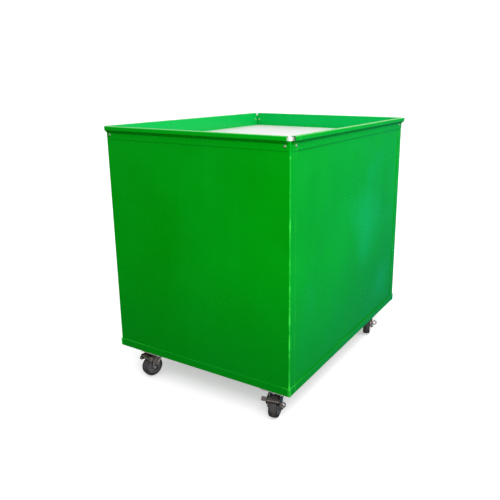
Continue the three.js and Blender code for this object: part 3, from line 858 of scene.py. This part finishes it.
def bolts_mesh():
    """Four hexagon bolts with washers below the plate, and their nuts on top of the base plate."""
    under = -PLATE_GAP - PLATE_SHEET
    floor_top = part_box("base_plate")[1].z - UNDERSIDE
    down = Matrix.Rotation(math.pi, 4, "X")
    bolt_end = [(0, 6 * MM), (2.9 * MM, 6 * MM), (2.9 * MM, 8 * MM), (2.3 * MM, 8.6 * MM), (0, 8.6 * MM)]
    bm = bmesh.new()
    for x in (-BOLT_OFFSET, BOLT_OFFSET):
        for y in (-BOLT_OFFSET, BOLT_OFFSET):
            below = Matrix.Translation((x, y, under)) @ down @ Matrix.Rotation(x * 31 + y * 17, 4, "Z")
            washer(bm, 7.2 * MM, 0, 36, below)
            hexagon(bm, HEX_RADIUS, WASHER, 5 * MM, below)
            above = Matrix.Translation((x, y, floor_top)) @ Matrix.Rotation(x * 13 + y * 29, 4, "Z")
            washer(bm, 7.2 * MM, 0, 36, above)
            hexagon(bm, HEX_RADIUS, WASHER, 6 * MM, above)
            turned(bm, bolt_end, 24, above)
    return mesh_of("caster_bolts", bm, MILKY_ZINC)


def kingpin_mesh():
    """Riveted pin: straight shank, domed head peened over under the fork."""
    top = -9 * MM
    dome = arc(0, -3.9 * MM, 8.9 * MM, -90, -17, 9)
    dome[0] = (0, dome[0][1])
    bm = bmesh.new()
    head = [*dome, (8.5 * MM, top), (5 * MM, top)]
    shank = [(5 * MM, -PLATE_GAP - 0.6 * MM), (4.4 * MM, -PLATE_GAP), (0, -PLATE_GAP)]
    turned(bm, head + shank, 40)
    return mesh_of("caster_kingpin", bm, ZINC)


def fork_mesh():
    """Pressed yoke: a round crown folded down into two legs that sweep back to the axle."""
    half = FORK_HALF - FORK_SHEET / 2
    flat = half - FORK_BEND
    leg_start = flat + FORK_BEND * math.pi / 2
    crown_z = -FORK_TOP - FORK_SHEET / 2
    leg_top = crown_z - FORK_BEND
    axle_s = leg_start + leg_top - AXLE_Z

    def lift(point):
        side = 1 if point.y >= 0 else -1
        reach = abs(point.y)
        turn = min(max((reach - flat) / FORK_BEND, 0.0), math.pi / 2)
        down = FORK_BEND * (1 - math.cos(turn)) + max(0.0, reach - leg_start)
        out = min(reach, flat) + FORK_BEND * math.sin(turn)
        share = (reach - leg_start) / (axle_s - leg_start)
        spine = -3 * MM + 27 * MM * min(max(share, 0.0), 1.0)
        rib = smooth(1 - abs(point.x - spine) / (7 * MM))
        rib *= smooth(share * 4 - 0.3) * smooth((0.86 - share) * 5)
        dish = 0.36 * MM * smooth((13 * MM - point.length) / (3.5 * MM))
        return Vector((point.x, side * (out - 0.9 * MM * rib), crown_z - down + dish))

    shoulder = (-13.5 * MM, 16 * MM)
    waist = (TRAIL - 9.5 * MM, axle_s)
    leg_front = [Vector(shoulder), *bent(shoulder, (-8 * MM, 27 * MM), (8 * MM, 38 * MM), waist)]
    eye = arc(TRAIL, axle_s, 9.5 * MM, 180, 0, 20)
    hip = (23.5 * MM, 13 * MM)
    leg_back = bent((TRAIL + 9.5 * MM, axle_s), (33 * MM, 44 * MM), (27.5 * MM, 26 * MM), hip)
    crown_back = [Vector(hip), *bent(hip, (21.5 * MM, 7 * MM), (20.5 * MM, 4 * MM), (20.5 * MM, 0), 6)]
    crown_front = arc(0, 0, 21 * MM, 180, 132, 10)[1:-1]
    upper = [*crown_front, *leg_front, *eye, *leg_back, *crown_back]
    lower = [Vector((p.x, -p.y)) for p in reversed(upper)]
    outline = [*upper, Vector((20.5 * MM, 0)), *lower, Vector((-21 * MM, 0))]
    holes = [circle(0, 0, 5.8 * MM)]
    for side in (-1, 1):
        holes.append(circle(TRAIL, side * axle_s, 4.3 * MM, 24))
        holes.append(circle(PEDAL_PIVOT_X, side * (leg_start + leg_top - PEDAL_PIVOT_Z), 2.75 * MM, 20))
    bm = bmesh.new()
    pressed(bm, outline, holes, FORK_SHEET, 1.6 * MM, lift)
    return mesh_of("caster_fork", bm, ZINC)


def axle_mesh():
    """Axle bolt with washers, a hexagon head on one side and a lock nut on the other."""
    head = FORK_HALF + PLATE_GAP
    bm = bmesh.new()
    for side in (-1, 1):
        place = AXLE @ Matrix.Rotation(-side * math.pi / 2, 4, "X")
        washer(bm, 8 * MM, head, 36, place, 1 * MM)
        hexagon(bm, 7.2 * MM, head + 1 * MM, head + 4.5 * MM, place)
    collar = arc(4.2 * MM, head + 4.4 * MM, 1.3 * MM, 0, 90, 4)
    turned(bm, [(0, head + 4.4 * MM), *collar, (0, head + 5.7 * MM)], 32, AXLE @ Y_UP)
    tip = head + 6 * MM
    shank = [(0, -head), (4 * MM, -head), (4 * MM, tip - 0.4 * MM), (3.5 * MM, tip), (0, tip)]
    turned(bm, shank, 32, AXLE @ Y_UP)
    return mesh_of("caster_axle", bm, SPRING)


def hub_mesh():
    """Moulded wheel centre: rim, boss and six ribs standing in a dished web, alike on both sides."""
    bore, boss, spokes, slices = 4.1 * MM, 8 * MM, 6, 144
    web, top = 5.2 * MM, 13.4 * MM
    # Radius, and how high the surface stands there between the web and the boss's top
    rows = [(bore, 0.97), (bore + 0.4 * MM, 1), (boss - 0.6 * MM, 1), (boss, 0.96), (8.5 * MM, 0.6),
            (9.2 * MM, 0.1), (10.2 * MM, 0), (12 * MM, 0), (14 * MM, 0), (15.8 * MM, 0), (17.2 * MM, 0.04),
            (18 * MM, 0.3), (18.6 * MM, 0.6), (19.2 * MM, 0.68), (RIM_RADIUS - 0.5 * MM, 0.68),
            (RIM_RADIUS, 0.6)]
    bm = bmesh.new()
    halves = []
    for side in (-1, 1):
        rings = []
        for radius, level in rows:
            ring = []
            for k in range(slices):
                off = abs(math.remainder(math.tau * k / slices, math.tau / spokes)) * radius
                rib = smooth((2.1 * MM - off) / (0.9 * MM)) if 8.5 * MM < radius < 19 * MM else 0.0
                height = web + (top - web) * max(level, 0.42 * rib)
                x, z = around(k / slices)
                ring.append(bm.verts.new(AXLE @ Vector((radius * x, side * height, radius * z))))
            rings.append(ring)
        halves.append(rings)
        for inner, outer in zip(rings, rings[1:]):
            bridge(bm, inner, outer)
    for row in (0, -1):
        bridge(bm, halves[0][row], halves[1][row])
    return mesh_of("caster_hub", bm, HUB)


def tyre_mesh():
    """Crowned tread with a fine parting line, round shoulders and a grooved side wall."""
    inner = RIM_RADIUS + 0.3 * MM
    half = [(WHEEL_RADIUS, 0.0), (WHEEL_RADIUS, 0.3 * MM), (WHEEL_RADIUS - 0.12 * MM, 0.6 * MM),
            (WHEEL_RADIUS - 0.3 * MM, 4 * MM), (WHEEL_RADIUS - 0.8 * MM, 7 * MM)]
    half += arc(WHEEL_RADIUS - 4.2 * MM, 8.4 * MM, 3.2 * MM, 22, 84, 6)
    half += [(26.2 * MM, 11.75 * MM), (25.8 * MM, 11.2 * MM), (24.9 * MM, 11.2 * MM), (24.5 * MM, 11.75 * MM),
             (inner + 0.6 * MM, TYRE_HALF), (inner, TYRE_HALF - 0.6 * MM)]
    profile = half + [(radius, -height) for radius, height in reversed(half[1:])]
    bm = bmesh.new()
    turned(bm, profile, 96, AXLE @ Y_UP, ring=True)
    tyre = mesh_of("caster_tyre", bm, RUBBER)
    tyre.materials.append(TREAD_RUBBER)
    for face in tyre.polygons:
        rolls = (face.center - AXLE.translation).length > WHEEL_RADIUS - 1.5 * MM
        face.material_index = int(rolls and abs(face.center.y) < 9.5 * MM)
    return tyre


def pedal_mesh(ring_side):
    """Brake pedal: two arms outside the fork, a ridged tread between them, a ring and a tab."""
    inner, sheet_thickness = FORK_HALF + 0.6 * MM, 1.8 * MM
    arm_y = inner + sheet_thickness / 2
    pivot = (PEDAL_PIVOT_X, PEDAL_PIVOT_Z)
    foot_z = RING_Z - 3 * MM
    tread_z = PEDAL_PIVOT_Z + 0.5 * MM
    foot = (38 * MM, foot_z)
    round_off = 2.5 * MM
    arm = arc(*pivot, 4 * MM, 90, 270, 14)
    arm += [*bent(arm[-1], (26 * MM, PEDAL_PIVOT_Z - 4 * MM), (31 * MM, foot_z), foot, 9), Vector(foot)]
    arm += arc(PEDAL_X + 4 * MM, foot_z + round_off, round_off, 270, 350, 5)
    arm += arc(PEDAL_X + 7 * MM - round_off, tread_z, round_off, 0, 100, 6)
    bm = bmesh.new()
    for side in (-1, 1):
        pressed(bm, arm, [], sheet_thickness, 2.4 * MM, lambda p: Vector((p.x, side * arm_y, p.y)))
    back = PEDAL_X - 6 * MM
    bend = 1.6 * MM
    flat = TREAD_FRONT - 1.5 * bend - back
    curl = bend * math.pi / 2
    blank = flat + curl + TREAD_LIP - 1.1 * MM
    tread = [Vector(p) for p in ((0, -arm_y), (blank, -arm_y), (blank, arm_y), (0, arm_y))]
    tread = [a.lerp(b, k / 14) for a, b in zip(tread, tread[1:] + tread[:1]) for k in range(14)]

    def curled(point):
        turn = min(max((point.x - flat) / bend, 0.0), math.pi / 2)
        ridge = 0.4 * MM * smooth(0.5 + 1.4 * math.cos(point.y / (3.3 * MM) * math.pi))
        out = min(point.x, flat) + (bend + ridge) * math.sin(turn)
        down = bend * (1 - math.cos(turn)) + max(0.0, point.x - flat - curl)
        return Vector((back + out, point.y, tread_z - down + ridge * math.cos(turn)))

    pressed(bm, tread, [], 1.6 * MM, 0.9 * MM, curled)
    pin = FORK_HALF + 3.4 * MM
    rivet = [(0, -pin), (3.2 * MM, -pin), (3.6 * MM, -pin + 0.9 * MM), (2.5 * MM, -pin + 1 * MM),
             (2.5 * MM, pin - 1 * MM), (3.6 * MM, pin - 0.9 * MM), (3.2 * MM, pin), (0, pin)]
    turned(bm, rivet, 28, Matrix.Translation((pivot[0], 0, pivot[1])) @ Y_UP)
    root = -9.6 * MM
    for side in (-1, 1):
        ring = side == ring_side
        holes = [circle(0, 0, 4.2 * MM, 24)] if ring else []
        if ring:
            neck = 3.6 * MM
            ear = arc(0, 0, 8 * MM, -58, 238, 36)
        else:
            neck = 5.6 * MM
            corner_x, corner_y, round_off = 3.4 * MM, 3.9 * MM, 2.8 * MM
            ear = arc(corner_x, corner_y, round_off, 0, 90, 6)
            ear += arc(-corner_x, corner_y, round_off, 90, 180, 6)
        ear = [Vector((neck, root)), *ear, Vector((-neck, root))]
        middle = Matrix.Translation((PEDAL_X, side * EAR_Y, RING_Z if ring else TAB_Z))
        tilt = middle @ Matrix.Rotation(math.pi / 4, 4, "Y")
        tilt = tilt @ Matrix.Rotation(0.0 if side > 0 else math.pi, 4, "Z")
        pressed(bm, ear, holes, 2 * MM, 1.5 * MM, lambda p: tilt @ upright(p, 0.0))
    return mesh_of("caster_pedal", bm, PEDAL)


def add_casters():
    meshes = {"plate": plate_mesh(), "bolts": bolts_mesh(), "kingpin": kingpin_mesh(),
              "fork": fork_mesh(), "axle": axle_mesh(), "hub": hub_mesh(), "tyre": tyre_mesh()}
    pedals = {side: pedal_mesh(side) for side in (-1, 1)}
    for corner in CORNERS:
        pin = Vector(JOINTS[f"swivel_{corner}"]["pos_m"])
        across = Vector(JOINTS[f"wheel_spin_{corner}"]["axis"])
        yaw = math.atan2(-across.x, across.y)
        fixed = Matrix.Translation((pin.x, pin.y, UNDERSIDE))
        swivel = fixed @ Matrix.Rotation(yaw, 4, "Z")
        pressed_by = -math.radians(JOINTS[f"brake_press_{corner}"]["range_deg"][0])
        pivot = Matrix.Translation((PEDAL_PIVOT_X, 0, PEDAL_PIVOT_Z))
        tipped = swivel @ pivot @ Matrix.Rotation(pressed_by, 4, "Y") @ pivot.inverted()
        turret, wheel = f"caster_swivel_{corner}", f"caster_wheel_{corner}"
        # Part, its body, place and slot, and the width of its broken edges in mm
        rows = (("plate", "body", fixed, "zinc_steel", 0.35), ("bolts", "body", fixed, "zinc_steel", 0.2),
                ("kingpin", "body", fixed, "zinc_steel", 0.0), ("fork", turret, swivel, "zinc_steel", 0.45),
                ("axle", turret, swivel, "zinc_steel", 0.2), ("hub", wheel, swivel, "hub_plastic", 0.0),
                ("tyre", wheel, swivel, "tyre_rubber", 0.0))
        for part, body, place, slot, edge in rows:
            node = f"caster_{part}_{corner}"
            stands_for = [node] if node in frame["nodes"] else []
            add_piece(f"{corner}_{part}", meshes[part], body, slot, stands_for, place, edge * MM)
        add_piece(f"{corner}_pedal", pedals[RING_SIDE[corner]], f"brake_{corner}", "pedal_steel",
                  [f"brake_pedal_{corner}"], tipped, 0.4 * MM)


# ------------ floor, light and camera

PURE_WHITE = (1, 1, 1, 1)


def add_backing(name, bm, surface):
    """Floor and backdrop are for the camera: they neither light the object nor show in its gloss."""
    obj = bpy.data.objects.new(name, mesh_of(name, bm, surface))
    bpy.context.scene.collection.objects.link(obj)
    obj.visible_glossy = False
    obj.visible_diffuse = False
    return obj


def add_floor():
    paper = Finish("floor_paper", Roughness=0.85, Specular_IOR_Level=0.1, Emission_Color=PURE_WHITE,
                   Emission_Strength=0.45)
    paper.colour(paper.mixed(paper.noise(1.5, detail=2), (0.86, 0.86, 0.86), (0.9, 0.9, 0.9)))
    bm = bmesh.new()
    bmesh.ops.create_circle(bm, cap_ends=True, radius=30, segments=96)
    add_backing("floor", bm, paper.material)


def add_backdrop():
    glow = Finish("backdrop_white", Base_Color=(0, 0, 0, 1), Emission_Color=PURE_WHITE,
                  Emission_Strength=1.05).material
    glow.cycles.emission_sampling = "NONE"
    bm = bmesh.new()
    turned(bm, arc(0, 0, 29, -2, 89, 24), 64)
    backdrop = add_backing("backdrop", bm, glow)
    backdrop.visible_shadow = False
    backdrop.visible_transmission = False


def add_world():
    """The room that lights the tote: bright overhead, dim at the sides, dark underfoot."""
    world = bpy.data.worlds.new("studio")
    bpy.context.scene.world = world
    world.use_nodes = True
    room = NodeTree(world.node_tree, "Generated")
    height = room.axes()["Z"]
    overhead = room.spread(height, -0.05, 0.85, 0.04, 1.12)
    right = room.spread(room.towards((0.95, -0.1, 0.3)), 0.35, 1.0, 0.0, 0.22)
    level = room.maths("ADD", overhead, right)
    far_wall = room.spread(room.towards((-0.45, 0.88, 0.14)), 0.86, 0.97)
    above_floor = room.spread(height, 0.0, 0.06, 0.0, 0.8)
    level = room.maths("ADD", level, room.times(far_wall, above_floor))
    window = room.spread(room.towards((0.8, -0.56, -0.1)), 0.88, 0.97, 0.0, 2.4)
    level = room.maths("ADD", level, window)
    grey = room.node("ShaderNodeCombineColor", {0: level, 1: level, 2: level}).outputs["Color"]
    clouds = room.blotches(5, 0.3, 0.7, 0.35, 1.0, detail=4)
    cool = room.times(room.spread(room.towards((0.3, 0.95, -0.2)), 0.88, 0.99), clouds)
    colour = room.mixed(cool, grey, (0.04, 0.4, 0.66))
    background = room.tree.nodes["Background"]
    room.tree.links.new(colour, background.inputs["Color"])
    background.inputs["Strength"].default_value = 1.0


def add_softbox(name, place, aim, size, watts):
    light = bpy.data.lights.new(name, "AREA")
    light.shape = "RECTANGLE"
    light.size, light.size_y = size
    light.energy = watts
    obj = bpy.data.objects.new(name, light)
    obj.location = place
    obj.rotation_euler = (Vector(aim) - Vector(place)).to_track_quat("-Z", "Y").to_euler()
    obj.visible_camera = False
    bpy.context.scene.collection.objects.link(obj)


def add_camera():
    azimuth, elevation, distance = math.radians(30.45), math.radians(14.7), 1.846
    target = Vector((0.0371, 0.0, 0.4149))
    level = math.cos(elevation)
    back = Vector((math.sin(azimuth) * level, -math.cos(azimuth) * level, math.sin(elevation)))
    data = bpy.data.cameras.new("camera")
    data.sensor_width = 36
    data.lens = 40.25
    data.shift_x, data.shift_y = -0.0584, -0.0444
    camera = bpy.data.objects.new("camera", data)
    camera.location = target + back * distance
    camera.rotation_euler = (-back).to_track_quat("-Z", "Y").to_euler()
    bpy.context.scene.collection.objects.link(camera)
    bpy.context.scene.camera = camera


add_camera()
add_floor()
add_backdrop()
add_world()
add_softbox("key", (1.15, 0.1, 1.5), (0.3, 0, 0.6), (0.6, 1.2), 9)
add_softbox("fill", (0.75, -1.15, 1.1), (0.2, -0.3, 0.5), (0.5, 0.5), 4)
add_base()
add_skins()
add_top_rails()
add_rivets()
add_corner_clips()
add_spot_welds()
add_platform()
add_casters()
bpy.context.scene.view_settings.view_transform = "Standard"
